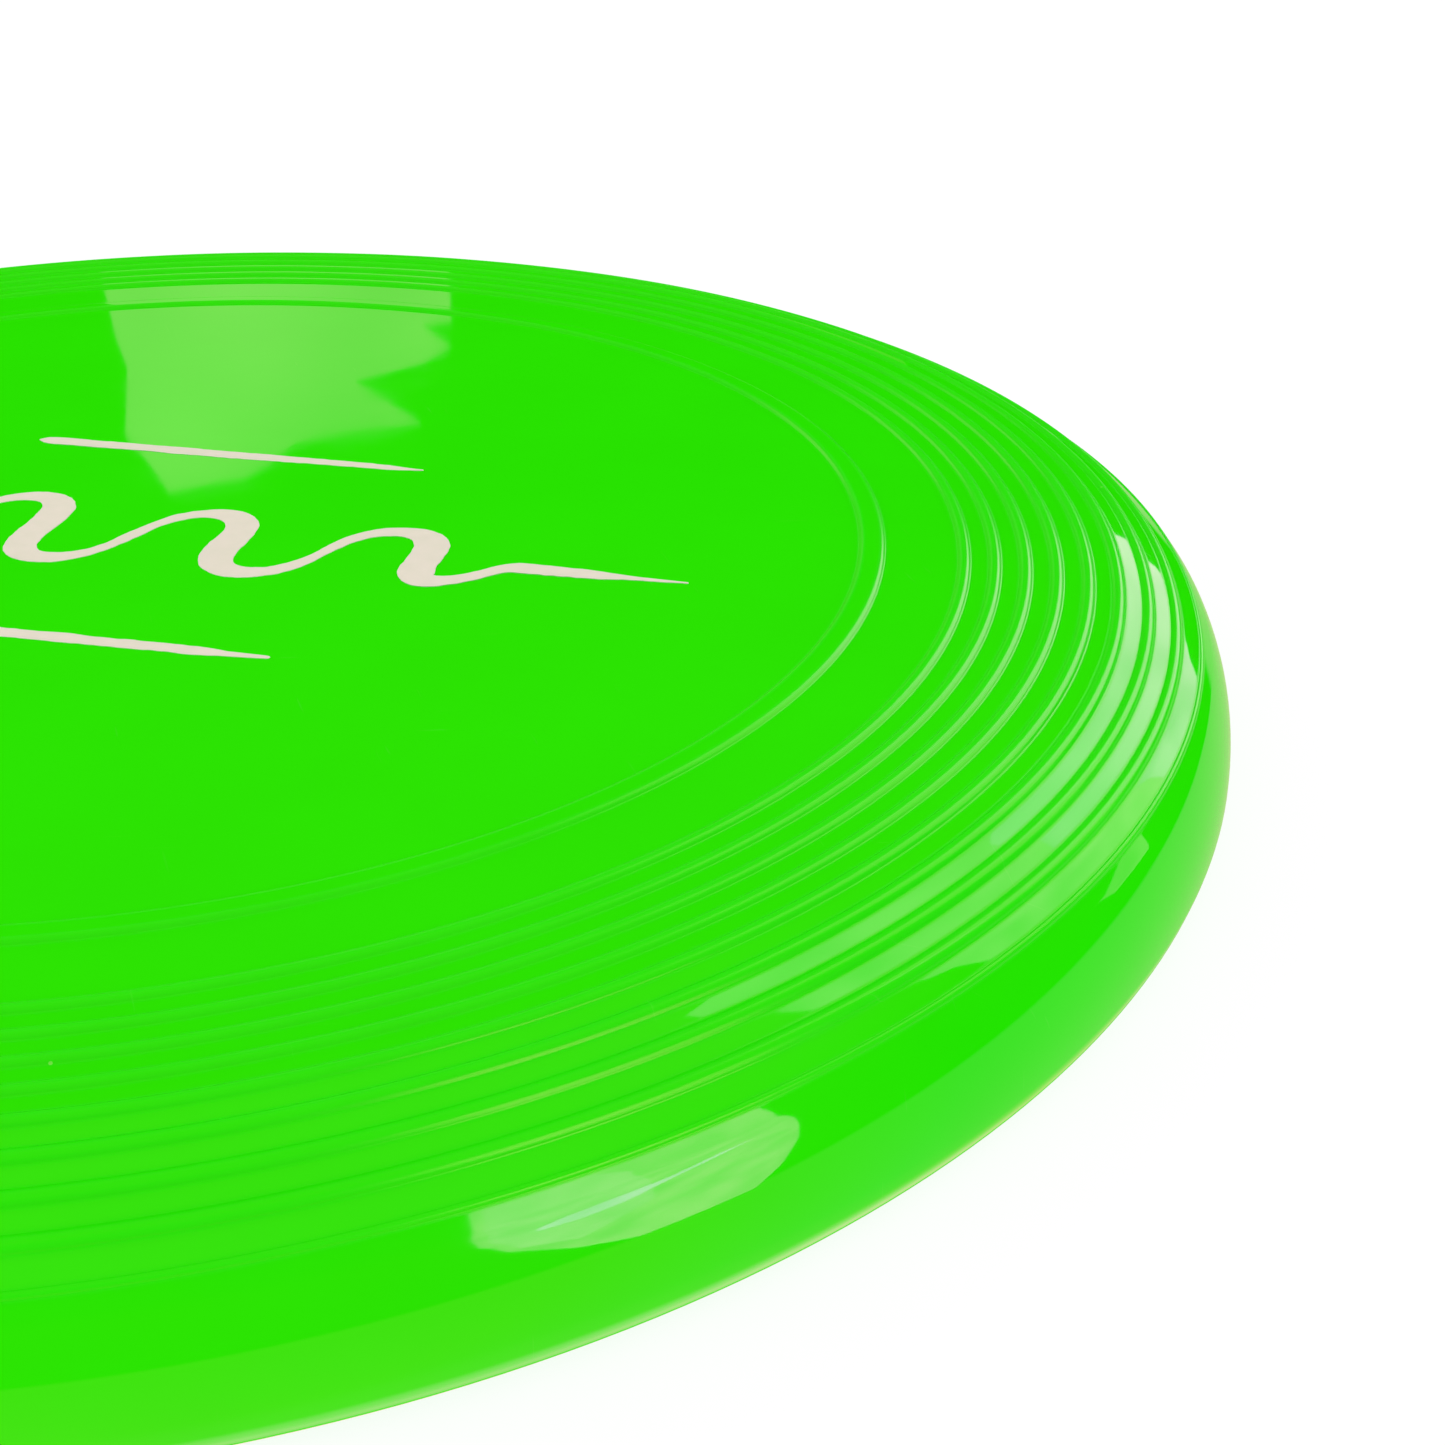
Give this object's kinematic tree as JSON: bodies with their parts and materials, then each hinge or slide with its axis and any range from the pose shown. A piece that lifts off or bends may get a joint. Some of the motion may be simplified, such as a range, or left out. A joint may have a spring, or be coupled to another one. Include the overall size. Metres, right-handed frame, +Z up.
{
  "type": "flying disc",
  "caption": "Round moulded plastic throwing disc with a flat top, fine flight ridges over the shoulder, a rounded lip and a plain brush-style print.",
  "frame": {"origin": "centre of the plane that the rim's lip rests on", "axes": "+Z up through the middle of the plate, +X along the printed lines in reading direction"},
  "size_m": [0.23, 0.23, 0.0181],
  "materials": {
    "disc_plastic": "gloss",
    "print_ink": "satin"
  },
  "bodies": {
    "root": {"disc": "disc_plastic", "print_wave": "print_ink", "print_upper_line": "print_ink", "print_lower_line": "print_ink"}
  },
  "joints": []
}
